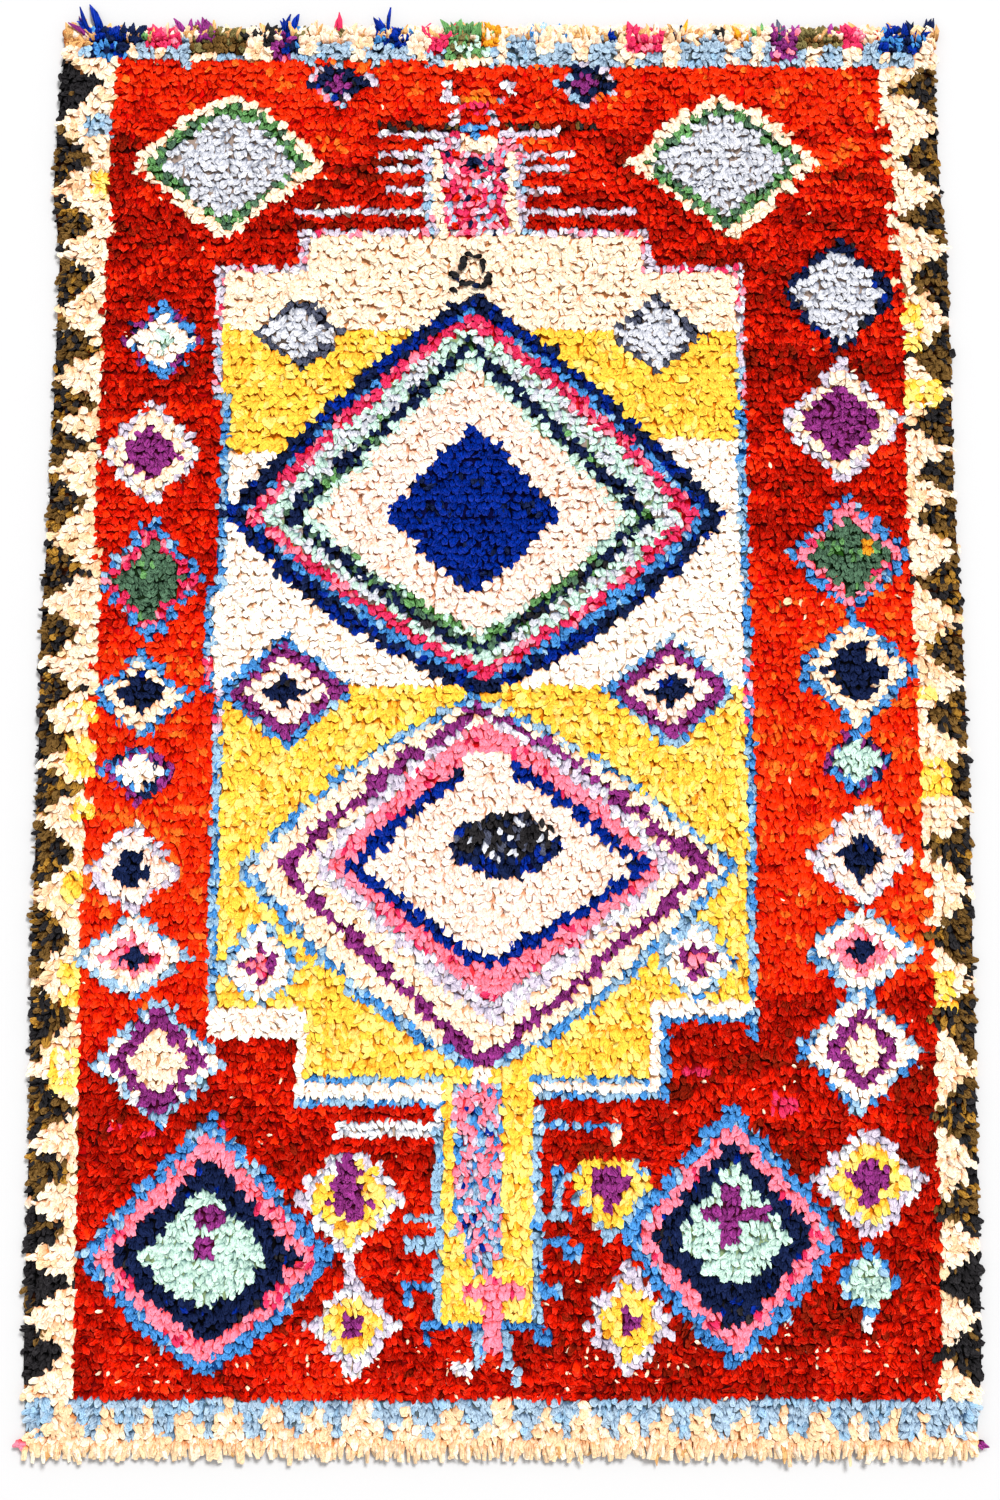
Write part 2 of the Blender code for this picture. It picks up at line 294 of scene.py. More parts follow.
sidePatches = [
    ("hazeSky", [(-44.8, -42.4, 176.4, 179.2)]),
    ("softYellow", [(-43.8, -41.6, 167.8, 171), (-45.2, -42.4, 95, 97.8), (-45.2, -42.4, 87.6, 92.8),
                    (-44.4, -42, 82.2, 85), (-45.2, -42.6, 71.4, 75.4), (-45.4, -43, 57, 62.6),
                    (-45.8, -43.2, 46.4, 52.2), (43, 45.2, 146, 152.6), (43, 47, 138.4, 142.4),
                    (43.2, 44.8, 98.2, 100.4), (43.4, 45.8, 85, 90.2), (44, 46.4, 57, 61.6)]),
]
redPatches = [
    ("pinkRed", [(-39.8, -34.6, 40, 41.8), (27, 30.2, 43.4, 45.8), (-31, -27, 40.6, 42.2)]),
    ("hotPink", [(17.6, 20.6, 47.6, 49)]),
    ("rustGold", [(25.6, 31.6, 110.6, 111.7)]),
]

# the saw-tooth side borders, each tooth by its middle
saw = {
    "left": [183.4, 172.9, 164.1, 155.9, 146.6, 138.7, 133.4, 125.0, 115.9, 107.1, 99.5, 92.9, 86.5, 77.8,
             65.9, 55.7, 43.5, 35.7, 27.8, 20.8, 11.8],
    "right": [183.0, 172.9, 164.5, 155.9, 145.3, 135.6, 129.2, 123.2, 114.1, 105.0, 95.9, 87.6, 78.6, 66.3,
              55.4, 42.7, 30.6, 21.2, 11.8],
    "depth": 5.0,
    "blunt": 0.4,
    "bow": 1.3,
    "overlap": 0.3,
    "lastReach": 4.3,
    "blackAbove": 178,
    "blackBelow": 30,
}

# the sky-blue waves in the end borders, in the columns of Wave
headWaves = [
    (-43.6, 2.5, 4), (-39, 0.9, 3.2), (-35.3, 1.8, 3.6), (-29.4, 1.6, 3),
    (-23.4, 2.1, 3), (-18.1, 2.6, 2.8), (-12.2, 2.8, 4), (-6.9, 0.8, 1.4),
    (-0.6, 0.9, 2), (2.7, 2.1, 3.8), (6.8, 1.6, 3.4), (11.7, 1.8, 4.4),
    (16.8, 1.4, 3.4), (20.6, 1.1, 4), (23.5, 1.7, 3.8), (27.1, 0.9, 3.6),
    (30.1, 1.5, 2.8), (33.3, 0.8, 1.6), (36.6, 1.6, 2.8), (40.9, 1.6, 3),
    (44.4, 2, 3.4),
]
footWaves = [-46.6, -41.7, -37.5, -33.7, -29.7, -25.1, -20.9, -16.7, -11.6, -7.5, -2.7, 2.5, 6.4, 11.1,
             14.7, 18.4, 22.4, 26.5, 30.1, 34.3, 37.6, 41.1, 44, 46.8]

# where the borders begin; the sides are (along, knots from the middle), a foot wave (down, half width)
borders = {
    "left": [(0, 43.2), (60, 43.3), (110, 42.3), (150, 43.2), (170, 42.0), (190, 41.7)],
    "right": [(0, 44.0), (60, 43.8), (110, 42.8), (190, 42.4)],
    "head": 186,
    "headStep": 0.6,
    "stepLeftOf": -8,
    "foot": 6,
    "footWave": [(0, 2.2), (1, 1.8), (3, 1.0), (5, 0.3)],
}

# the red ground: how light it is along the rug, on its left and right, from 0 maroon to 1 orange,
# then its patches as (strength, size in knots, seed), and the mottled and the dark places
redGround = {
    "levels": [
        (0, 0.53, 0.50), (12, 0.44, 0.38), (52, 0.42, 0.34), (57, 0.68, 0.42), (62, 0.78, 0.70),
        (72, 0.76, 0.76), (108, 0.72, 0.76), (114, 0.52, 0.68), (122, 0.52, 0.50), (136, 0.50, 0.50),
        (142, 0.42, 0.42), (164, 0.42, 0.42), (170, 0.48, 0.54), (178, 0.56, 0.60), (181, 0.70, 0.70),
        (190, 0.74, 0.74),
    ],
    "rags": [("maroon", 0.24), ("brick", 0.44), ("red", 0.62), ("redOrange", 0.86), ("orange", 9.0)],
    "patches": [(0.26, (9, 2.6), 5), (0.36, (2.4, 1.1), 6)],
    "mottle": (0.95, (3.4, 1.2), 8),
    "mottleMiddle": 0.46,
    "mottledHead": (173, 5),
    "mottledRight": (114, 2.5),
    "rightFrom": 24,
    "ladderShade": (0.20, 172, 5, -2, 20),
    "scatter": 0.07,
}
clumps = {"size": (2.2, 1.3), "seed": 9, "freeFrom": 4}


def patchNoise(across, along, size, seed):
    rng = np.random.default_rng(seed)
    grid = rng.random((64, 64))
    x, y = across / size[0] % 63, along / size[1] % 63
    i, j = x.astype(int), y.astype(int)
    fx, fy = x - i, y - j
    fx, fy = fx * fx * (3 - 2 * fx), fy * fy * (3 - 2 * fy)
    low = grid[i, j] * (1 - fx) + grid[i + 1, j] * fx
    high = grid[i, j + 1] * (1 - fx) + grid[i + 1, j + 1] * fx
    return low * (1 - fy) + high * fy


def insideSteps(u, v, grow=0.0):
    inside = np.zeros(u.shape, bool)
    for left, right, low, high in fieldSteps:
        inside |= (u > left - grow) & (u < right + grow) & (v > low - grow) & (v < high + grow)
    return inside


# a line such as "navy 1.1, lavender" is names, each with its number or none
def readWords(line):
    words = [part.split() for part in line.split(", ")]
    return [(word[0], float(word[1]) if len(word) > 1 else 0) for word in words]


def paint(chart, where, blend):
    chart[where] = blendNames.index(blend)


def paintLozenge(chart, u, v, row):
    row = Lozenge(*row)
    rise = v - row.along
    upper = rise > 0
    middle = row.across + np.where(upper, rise / row.above * row.nod, -rise / row.below * row.slide)
    half = row.half + lozengeRim
    across = np.abs(u - middle) / half
    along = np.where(upper, rise / row.above, -rise / row.below)
    bulge = np.where(upper, row.crown, row.heel)
    slope = along + (1 - bulge) * across
    reach = (slope + np.sqrt(slope ** 2 + 4 * bulge * across ** 2)) / 2
    reach = np.where(rise < row.cut * row.above, reach, np.inf)
    depth = half
    for blend, width in readWords(row.rings):
        paint(chart, reach <= depth / half, blend)
        depth -= width


def paintBars(chart, u, v, bars):
    for blend, places in bars:
        for bar in (Bar(*place) for place in places):
            inside = (u > bar.left) & (u < bar.right) & (v > bar.low) & (v < bar.high)
            paint(chart, inside, blend)


def paintSaw(chart, u, v, teeth, side):
    depth = halfAcross - u * side
    teeth = np.array(sorted(teeth))
    gaps = np.diff(teeth) / 2 + saw["overlap"]
    for index, tooth in enumerate(teeth):
        low = gaps[index - 1] if index else saw["lastReach"]
        high = gaps[index] if index < len(gaps) else saw["lastReach"]
        reach = np.where(v < tooth, (tooth - v) / low, (v - tooth) / high)
        inside = depth < saw["depth"] * np.clip(1 - reach, 0, 1) ** saw["bow"]
        inside &= depth < saw["depth"] - saw["blunt"]
        black = (tooth > saw["blackAbove"] and side < 0) or tooth < saw["blackBelow"]
        paint(chart, inside, "sawBlack" if black else "sawBrown")


def paintEnds(chart, u, v):
    step = borders["headStep"] * (u < borders["stepLeftOf"])
    paint(chart, v > borders["head"] + step, "borderCream")
    paint(chart, v < borders["foot"], "footCream")
    for row in headWaves:
        wave = Wave(*row)
        rise = (v - borders["head"] - step) / (wave.reach + 1)
        inside = (np.abs(u - wave.middle) < wave.half * (1.1 - 0.6 * rise)) & (rise > 0) & (rise < 1)
        paint(chart, inside, "hazeSky")
    drop = borders["foot"] - v
    half = np.interp(drop, *zip(*borders["footWave"]))
    for middle in footWaves:
        inside = (drop > 0) & (drop < borders["footWave"][-1][0]) & (np.abs(u - middle) < half)
        paint(chart, inside, "hazeSky")


def makeChart(knotU, knotV, stray):
    u, v = knotU + stray[0], knotV + stray[1]
    chart = np.full(u.shape, -1)
    outside = u < -np.interp(v, *zip(*borders["left"]))
    outside |= u > np.interp(v, *zip(*borders["right"]))
    paint(chart, outside, "borderCream")
    paintSaw(chart, u, v, saw["left"], -1)
    paintSaw(chart, u, v, saw["right"], 1)
    paintEnds(chart, u, v)
    paintBars(chart, u, v, redPatches)
    rim = insideSteps(knotU, knotV, 1)
    for low, blend in fieldEdges:
        paint(chart, rim & (v > low) & (chart < 0), blend)
    inside = insideSteps(knotU, knotV)
    ceiling = np.inf
    for low, blend in fieldBands:
        paint(chart, inside & (v >= low) & (v < ceiling), blend)
        ceiling = low
    paintBars(chart, knotU, knotV, hemBars)
    for row in greatLozenges + smallLozenges:
        paintLozenge(chart, u, v, row)
    for bars in (headBars, hornBars, footBars, crossBars, headPatches, sidePatches):
        paintBars(chart, knotU, knotV, bars)
    return chart


def bell(place, middle, spread, power=2):
    return np.exp(-((place - middle) / spread) ** power)


def pickReds(u, v, rng):
    place, left, right = zip(*redGround["levels"])
    level = np.interp(v, place, left) * (u < 0) + np.interp(v, place, right) * (u >= 0)
    for strength, size, seed in redGround["patches"]:
        level = level + strength * (patchNoise(u, v, size, seed) - 0.5)
    fade = bell(v, *redGround["mottledHead"])
    fade = fade + bell(v, *redGround["mottledRight"]) * (u > redGround["rightFrom"])
    strength, size, seed = redGround["mottle"]
    level = level + strength * fade * (patchNoise(u, v, size, seed) - redGround["mottleMiddle"])
    strength, along, high, across, wide = redGround["ladderShade"]
    level = level - strength * bell(v, along, high) * bell(u, across, wide, 4)
    level = level + rng.normal(0, redGround["scatter"], u.shape)
    rag = np.full(u.shape, ragNames.index("red"))
    done = np.zeros(u.shape, bool)
    for name, ceiling in redGround["rags"]:
        rag[~done & (level < ceiling)] = ragNames.index(name)
        done |= level < ceiling
    return rag


def pickRags(chart, u, v, rng):
    roll = 0.5 * rng.random(u.shape) + 0.5 * patchNoise(u, v, clumps["size"], clumps["seed"])
    roll = np.argsort(np.argsort(roll.ravel())).reshape(u.shape) / roll.size
    rag = pickReds(u, v, rng)
    for index, blend in enumerate(blendNames):
        names, shares = zip(*readWords(blends[blend]))
        shares = np.cumsum(shares)
        codes = np.array([ragNames.index(name) for name in names])
        here = chart == index
        pick = rng.random(here.sum()) if len(codes) >= clumps["freeFrom"] else roll[here]
        rag[here] = codes[np.minimum(np.searchsorted(shares, pick * shares[-1]), len(codes) - 1)]
    return rag


rng = np.random.default_rng(seeds["pattern"])
columns, rows = np.arange(cloth["columns"]), np.arange(cloth["rows"])
knotU, knotV = np.meshgrid(columns + 0.5 - halfAcross, rows + 0.5, indexing="ij")
chart = makeChart(knotU, knotV, rng.normal(0, cloth["stray"], (2, *knotU.shape)))
strandRags = [pickRags(chart, knotU, knotV, rng) for strand in range(3)]
knotRag = strandRags[0]
print("pattern counted:", knotRag.size, "knots")


def knotPlace(u, v):
    along = cloth["pileFrom"] + v * rowPitch
    place, leftHalf, rightHalf = zip(*cloth["sides"])
    left = cloth["inset"] - np.interp(along, place, leftHalf)
    right = np.interp(along, place, rightHalf) - cloth["inset"]
    return left + (u + halfAcross) / cloth["columns"] * (right - left), along


# rag cloth: roughness, fibre, lint and creases, with painted shade at the strip roots and in the creases
# and a painted highlight at the tips; a pair is for strong colours and for pale ones
clothAndPaintedLight = {
    "rough": 0.92,
    "gloss": 0.02,
    "strongToPale": (0.2, 0.6),
    "warmFrom": 1.1,
    # painted shade at the strip roots: how dark, how fast it fades and its warm or cool tint
    "rootDark": (0.13, 0.60),
    "rootPower": 1.55,
    "warmRoot": (1.40, 0.80, 0.50),
    "coolRoot": (0.45, 0.50, 0.62),
    "rootTo": 0.08,
    "bodyFrom": 0.42,
    # painted highlight at the strip tips: lighter, with a pale warm tint
    "paintedHighlight": 1.12,
    "highlightTint": (0.055, 0.045, 0.022),
    "shadeLow": (0.60, 0.86),
    "shadeHigh": (1.12, 1.06),
    "fibreScale": (5.0, 2.4),
    "fleckLow": (0.66, 0.86),
    "fleckHigh": (1.28, 1.10),
    "fibreBump": 0.6,
    "fibreDepth": 0.0012,
    "creaseScale": (2.6, 1.5),
    "creaseWide": (0.055, 0.022),
    "creaseDeep": 0.12,
    "lintScale": 420,
    "lintRange": (0.84, 1.14),
    "noiseRange": (0.3, 0.7),
}


def linear(colour):
    return [((c / 255 + 0.055) / 1.055) ** 2.4 if c > 10 else c / 255 / 12.92 for c in colour]


def newCloth(name, rough, gloss):
    material = bpy.data.materials.new(name)
    material.use_nodes = True
    shader = material.node_tree.nodes["Principled BSDF"]
    shader.inputs["Roughness"].default_value = rough
    shader.inputs["Specular IOR Level"].default_value = gloss
    return material, shader


# inputs take a value or the output of another node
def addNode(material, kind, inputs, **settings):
    tree = material.node_tree
    node = tree.nodes.new("ShaderNode" + kind)
    for key, value in settings.items():
        setattr(node, key, value)
    for key, value in inputs.items():
        if isinstance(value, bpy.types.NodeSocket):
            tree.links.new(value, node.inputs[key])
        else:
            node.inputs[key].default_value = value
    return node.outputs


def rescale(material, value, source, target):
    ends = zip(("From Min", "From Max", "To Min", "To Max"), (*source, *target))
    return addNode(material, "MapRange", {"Value": value, **dict(ends)})["Result"]


def calculate(material, operation, first, second):
    return addNode(material, "Math", {0: first, 1: second}, operation=operation)["Value"]


def stripNoise(material, scale, detail):
    strip = addNode(material, "UVMap", {}, uv_map="strip")["UV"]
    scaled = addNode(material, "Mapping", {"Vector": strip, "Scale": (*scale, 1)})["Vector"]
    inputs = {"Vector": scaled, "Scale": 1, "Detail": detail}
    return addNode(material, "TexNoise", inputs, noise_dimensions="2D")["Fac"]


def addBump(material, shader, height, strength, distance):
    bump = addNode(material, "Bump", {"Height": height, "Strength": strength, "Distance": distance})
    material.node_tree.links.new(bump["Normal"], shader.inputs["Normal"])


def ragCloth(name, colour):
    material, shader = newCloth(name, clothAndPaintedLight["rough"], clothAndPaintedLight["gloss"])
    body = np.array(linear(colour))
    suited = {key: float(np.interp(body.mean(), clothAndPaintedLight["strongToPale"], pair))
              for key, pair in clothAndPaintedLight.items() if isinstance(pair, tuple) and len(pair) == 2}
    tint = clothAndPaintedLight["warmRoot"] if body[0] > body[2] * clothAndPaintedLight["warmFrom"] else clothAndPaintedLight["coolRoot"]
    # painted shade: the root end of each strip takes a darker colour, warm or cool by the rag, for the
    # shade between the strips
    root = body ** clothAndPaintedLight["rootPower"] * suited["rootDark"] * np.array(tint)
    # painted highlight: the tip end of each strip takes a lighter, warmer colour
    paintedHighlight = body * clothAndPaintedLight["paintedHighlight"] + body.max() * np.array(clothAndPaintedLight["highlightTint"])
    height = addNode(material, "Attribute", {}, attribute_name="tuftHeight")["Fac"]
    # thin creases run where the fold noise crosses its middle, and show the deep root colour as painted
    # shade
    folds = calculate(material, "SUBTRACT", stripNoise(material, clothAndPaintedLight["creaseScale"], 1), 0.5)
    away = addNode(material, "Math", {0: folds}, operation="ABSOLUTE")["Value"]
    crease = rescale(material, away, (0, suited["creaseWide"]), (clothAndPaintedLight["creaseDeep"], 1))
    creased = calculate(material, "MULTIPLY", height, crease)
    # the ramp runs from the painted root shade through the rag's own colour to the painted tip highlight
    ramp = addNode(material, "ValToRGB", {"Fac": creased})["Color"]
    stops = ramp.node.color_ramp.elements
    low, high = stops
    low.position, high.position = clothAndPaintedLight["rootTo"], clothAndPaintedLight["bodyFrom"]
    low.color, high.color = (*np.clip(root, 0, 1), 1), (*np.clip(body, 0, 1), 1)
    stops.new(1.0).color = (*np.clip(paintedHighlight, 0, 1), 1)
    shade = addNode(material, "Attribute", {}, attribute_name="tuftShade")["Fac"]
    shade = rescale(material, shade, (0, 1), (suited["shadeLow"], suited["shadeHigh"]))
    fibre = stripNoise(material, clothAndPaintedLight["fibreScale"], 3)
    fleck = rescale(material, fibre, clothAndPaintedLight["noiseRange"], (suited["fleckLow"], suited["fleckHigh"]))
    place = addNode(material, "TexCoord", {})["Object"]
    lint = addNode(material, "TexNoise", {"Vector": place, "Scale": clothAndPaintedLight["lintScale"], "Detail": 2})
    grain = rescale(material, lint["Fac"], clothAndPaintedLight["noiseRange"], clothAndPaintedLight["lintRange"])
    value = calculate(material, "MULTIPLY", calculate(material, "MULTIPLY", shade, fleck), grain)
    tone = addNode(material, "HueSaturation", {"Value": value, "Color": ramp})
    material.node_tree.links.new(tone["Color"], shader.inputs["Base Color"])
    addBump(material, shader, fibre, clothAndPaintedLight["fibreBump"], clothAndPaintedLight["fibreDepth"])
    return material


ragMaterials = {name: ragCloth(name + "Rag", colour) for name, colour in ragColours.items()}
print("rag cloths ready")


# one tuft end is a folded strip: a three-sided stem pulled up, bent over and narrowed
def selectEnd(mesh, direction):
    bpy.ops.mesh.select_all(action="DESELECT")
    edit = bmesh.from_edit_mesh(mesh)
    edit.faces.ensure_lookup_table()
    best = max(edit.faces, key=lambda face: face.normal.dot(direction))
    best.select = True
    bmesh.update_edit_mesh(mesh)


def makePetal(rings):
    bpy.ops.object.select_all(action="DESELECT")
    lean, rise, width, thick, turn = rings[0]
    depth = rings[1][1] - rise
    radius = width * 0.5774  # the circle round a triangle as wide as the rag
    tall = radius * 1.5
    centre = (0, 0, rise + depth / 2)
    bpy.ops.mesh.primitive_cylinder_add(vertices=3, radius=radius, depth=depth, location=centre)
    petal = bpy.context.object
    bpy.ops.object.transform_apply(location=True, rotation=False, scale=False)
    bpy.ops.object.mode_set(mode="EDIT")
    bpy.ops.mesh.select_mode(type="FACE")
    bpy.ops.mesh.select_all(action="SELECT")
    bpy.ops.transform.resize(value=(1, thick / tall, 1), center_override=(0, 0, rise))
    selectEnd(petal.data, (0, 0, 1))
    here = (0.0, rings[1][1])
    size = (width, thick)
    for index, (lean, rise, width, thick, turn) in enumerate(rings[1:]):
        step = (0, -lean - here[0], rise - here[1])
        if index == 0:
            bpy.ops.transform.translate(value=step)
        else:
            bpy.ops.mesh.extrude_region_move(TRANSFORM_OT_translate={"value": step})
        centre = (0, -lean, rise)
        bpy.ops.transform.rotate(value=-turn, orient_axis="X", center_override=centre)
        bpy.ops.transform.resize(value=(width / size[0], 1, 1), center_override=centre)
        grow = thick / size[1]
        bpy.ops.transform.resize(value=(1, grow, grow), center_override=centre)
        here = (-lean, rise)
        size = (width, thick)
    bpy.ops.object.mode_set(mode="OBJECT")
    mesh = petal.data
    points = np.array([corner.co for corner in mesh.vertices])
    quads = np.array([list(face.vertices) for face in mesh.polygons if len(face.vertices) == 4])
    ends = [list(face.vertices) for face in mesh.polygons if len(face.vertices) == 3]
    groups = [[0, 2, 4], [1, 3, 5]]
    groups += [list(range(k, k + 3)) for k in range(6, len(points), 3)]
    ranks = np.zeros(len(points), int)
    for group in groups:
        ranks[group] = np.argsort(np.argsort(points[group, 1] + points[group, 2]))
    bpy.data.objects.remove(petal)
    bpy.data.meshes.remove(mesh)
    return points, quads, np.array(ends, int).reshape(-1, 3), groups, ranks


# lean, rise, width, thickness and turn at each ring of a rag end, in mm and degrees
petalRings = {
    "wide": [(0, 8.6, 7.5, 3, 50), (5, 11.6, 11, 3.4, 68), (12, 12.6, 11.5, 3.2, 84), (18, 11.6, 6, 2, 98)],
    "slim": [(0, 8.8, 5.5, 3, 50), (5, 12, 8, 3.4, 68), (12, 12.8, 8.4, 3.2, 84), (18, 11.4, 4.5, 1.8, 98)],
    "end": [(0, 0, 7, 3, 0), (4, 4, 10, 2.8, 45), (15, 7, 10.5, 2.6, 30), (27, 6, 8, 2.2, 12),
            (38, 3, 2.6, 1.2, 6)],
    "leaf": [(0, 0, 8, 3.4, 0), (4, 6, 10.5, 3.6, 45), (14, 9, 11, 3.4, 60), (24, 7.5, 10, 3.2, 78),
             (29, 5, 7.5, 2.6, 92)],
}
petal = {
    "variants": 10,
    "vary": (0.86, 1.14),
    "turnVary": (0.9, 1.1),
    "ridge": (0.6, 1.3),
    "ridgeSide": 0.3,
    # painted shade along the side edges of each strip
    "edgeDark": 0.15,
    "bend": 0.14,
    "bendRate": 60,
    "skew": 0.3,
    "skewFrom": 0.008,
    "rough": 0.0006,
    "stripWide": 0.012,
    "lowest": 0.0004,
}


def petalFamily(rings, rng):
    family = []
    for index in range(petal["variants"]):
        wide, long, tall = rng.uniform(*petal["vary"], 3)
        shaped = [(lean * long / 1000, rise * tall ** 0.3 / 1000, width * wide / 1000, thick * tall / 1000,
                   math.radians(turn * rng.uniform(*petal["turnVary"])))
                  for lean, rise, width, thick, turn in rings]
        points, quads, ends, groups, ranks = makePetal(shaped)
        ridge = rng.uniform(*petal["ridge"])
        side = rng.uniform(-petal["ridgeSide"], petal["ridgeSide"])
        # reach runs from 0 at the root to 1 at the tip and is lowered on the side edges; the rag cloth
        # paints shade by it at the roots and edges and a highlight at the tips
        reach = np.zeros(len(points))
        for order, group in enumerate(groups):
            group = np.array(group)
            top = group[ranks[group] == 2]
            edge = group[ranks[group] < 2]
            base = points[edge].mean(0)
            points[top] = base + (points[top] - base) * ridge
            points[top, 0] += side * np.ptp(points[edge, 0])
            reach[group] = order / (len(groups) - 1)
            reach[edge] -= petal["edgeDark"]
        bend = rng.uniform(-petal["bend"], petal["bend"])
        skew = rng.uniform(-petal["skew"], petal["skew"])
        points[:, 0] += bend * points[:, 1] ** 2 * petal["bendRate"]
        points[:, 0] += skew * (points[:, 2] - petal["skewFrom"]) * 0.5
        points += rng.normal(0, petal["rough"], points.shape)
        family.append((points, quads, ends, np.clip(reach, 0, 1.1)))
    return family


rng = np.random.default_rng(seeds["petals"])
widePetals, slimPetals, endStrips, leafPetals = (petalFamily(rings, rng) for rings in petalRings.values())
print("petals modelled:", len(widePetals), "wide and", len(slimPetals), "slim")


def placePetals(family, which, place, yaw, pitch, size):
    points = np.stack([each[0] for each in family])[which]
    reach = np.stack([each[3] for each in family])[which]
    points = points * size[:, None, :]
    cosP, sinP = np.cos(pitch)[:, None], np.sin(pitch)[:, None]
    y = points[..., 1] * cosP - points[..., 2] * sinP
    z = points[..., 1] * sinP + points[..., 2] * cosP
    cosY, sinY = np.cos(yaw)[:, None], np.sin(yaw)[:, None]
    x = points[..., 0] * cosY - y * sinY
    y = points[..., 0] * sinY + y * cosY
    placed = np.stack([x, y, z], -1) + place[:, None, :]
    across = points[..., 0] / petal["stripWide"]
    return placed, family[0][1], family[0][2], reach, across


def joinPieces(name, blocks, material):
    coords, quads, ends, heights, shades, strips = [], [], [], [], [], []
    start = 0
    for placed, fours, threes, reach, across, shade, offset in blocks:
        count, each = placed.shape[:2]
        step = start + np.arange(count)[:, None, None] * each
        coords.append(placed.reshape(-1, 3))
        quads.append((fours[None] + step).reshape(-1, 4))
        ends.append((threes[None] + step).reshape(-1, 3))
        heights.append(reach.ravel())
        shades.append(np.repeat(shade, each))
        offset = offset[:, None]
        strips.append(np.stack([across + offset, reach * 2 + offset * 7], -1).reshape(-1, 2))
        start += count * each
    coords, quads, ends = np.concatenate(coords), np.concatenate(quads), np.concatenate(ends)
    coords[:, 2] = np.maximum(coords[:, 2], petal["lowest"])
    corners = np.concatenate([quads.ravel(), ends.ravel()])
    starts = np.concatenate([np.arange(0, quads.size, 4), quads.size + np.arange(0, ends.size, 3)])
    mesh = bpy.data.meshes.new(name)
    mesh.vertices.add(len(coords))
    mesh.vertices.foreach_set("co", coords.astype(np.float32).ravel())
    mesh.loops.add(len(corners))
    mesh.loops.foreach_set("vertex_index", corners.astype(np.int32))
    mesh.polygons.add(len(starts))
    mesh.polygons.foreach_set("loop_start", starts.astype(np.int32))
    mesh.polygons.foreach_set("use_smooth", np.zeros(len(starts), bool))
    mesh.update(calc_edges=True)
    for key, values in (("tuftHeight", heights), ("tuftShade", shades)):
        attribute = mesh.attributes.new(key, "FLOAT", "POINT")
        attribute.data.foreach_set("value", np.concatenate(values).astype(np.float32))
    strip = mesh.uv_layers.new(name="strip")
    strip.data.foreach_set("uv", np.concatenate(strips)[corners].astype(np.float32).ravel())
    mesh.materials.append(material)
    piece = bpy.data.objects.new(name, mesh)
    scene.collection.objects.link(piece)
    return piece


# the knotted pile: angles in degrees, places in knots, lengths in metres; a strand of a knot is
# (across, along, size), and yaw and the lengths and widths are (lower half, upper half) of the rug
tuft = {
    "lean": 0.0115,
    "strands": [(-0.0040, 0, 1), (0.0040, 0.0010, 1), (0.0005, 0.0020, 0.95)],
    "jitter": (0.0010, 0.0009),
    "yaw": (20, 30),
    "redYaw": [(0, 44), (12, 40), (46, 32), (60, 0)],
    "turnHeadFrom": 188.6,
    "rimFrom": 45.0,
    "rimOver": 2.5,
    "rimYaw": 50,
    "pitch": 7,
    "palePitch": 3.5,
    "pitchRange": (-9, 14),
    "paleWide": (0.12, 0.16),
    "length": (1.0, 0.86),
    "paleLength": (0.06, 0.14),
    "swell": 0.10,
    "sizeRange": (0.7, 1.22),
    "sizeSpread": 0.09,
    "turnSpread": 12,
    "pitchSpread": 5,
    "patchShade": 0.45,
    "ownShade": 0.25,
    "thirdShare": 0.38,
    "offsets": 40,
    "waveNoise": ((7, 9), 21),
    "swellNoise": ((14, 18), 22),
    "shadeNoise": ((5, 2.2), 23),
}
paleRags = "cream ivory peach blush yellow straw"
rng = np.random.default_rng(seeds["pile"])
shape = knotU.shape


def byHalf(low, high):
    return np.where(knotV > halfAlong, high, low)


alongWave = cloth["rowWave"] * (patchNoise(knotU, knotV, *tuft["waveNoise"]) - 0.5) * 2
x, y = knotPlace(knotU, knotV)
y = y + alongWave + rng.normal(0, cloth["knotSpread"][1], shape)
x = x + rng.normal(0, cloth["knotSpread"][0], shape)
edge = np.clip((np.abs(knotU) - tuft["rimFrom"]) / tuft["rimOver"], 0, 1) * np.sign(knotU)
loose = np.where(chart < 0, np.interp(knotV, *zip(*tuft["redYaw"])), 0)
loose = np.maximum(loose, byHalf(*tuft["yaw"]))
yaw = np.radians(rng.normal(0, 1, shape) * loose) + edge * math.radians(tuft["rimYaw"])
yaw = yaw + np.where(knotV > tuft["turnHeadFrom"], math.pi, 0)
swell = 1 + tuft["swell"] * (patchNoise(knotU, knotV, *tuft["swellNoise"]) - 0.5)
pale = np.isin(knotRag, [ragNames.index(name) for name in paleRags.split()])
spread = 1 + byHalf(*tuft["paleWide"]) * pale
stretch = byHalf(*tuft["length"]) + byHalf(*tuft["paleLength"]) * pale
pitch = rng.normal(0, 1, shape) * np.where(pale, tuft["palePitch"], tuft["pitch"])
pitch = pitch - tuft["palePitch"] * pale
pitch = np.radians(np.clip(pitch, *tuft["pitchRange"]))
hand = rng.choice([-1, 1], shape)
shade = (1 - tuft["patchShade"]) * rng.random(shape)
shade = np.clip(shade + tuft["patchShade"] * patchNoise(knotU, knotV, *tuft["shadeNoise"]), 0, 1)


def onCloth(u, v, rise):
    return np.stack([*knotPlace(u, v), np.full(len(v), rise)], -1) + middle


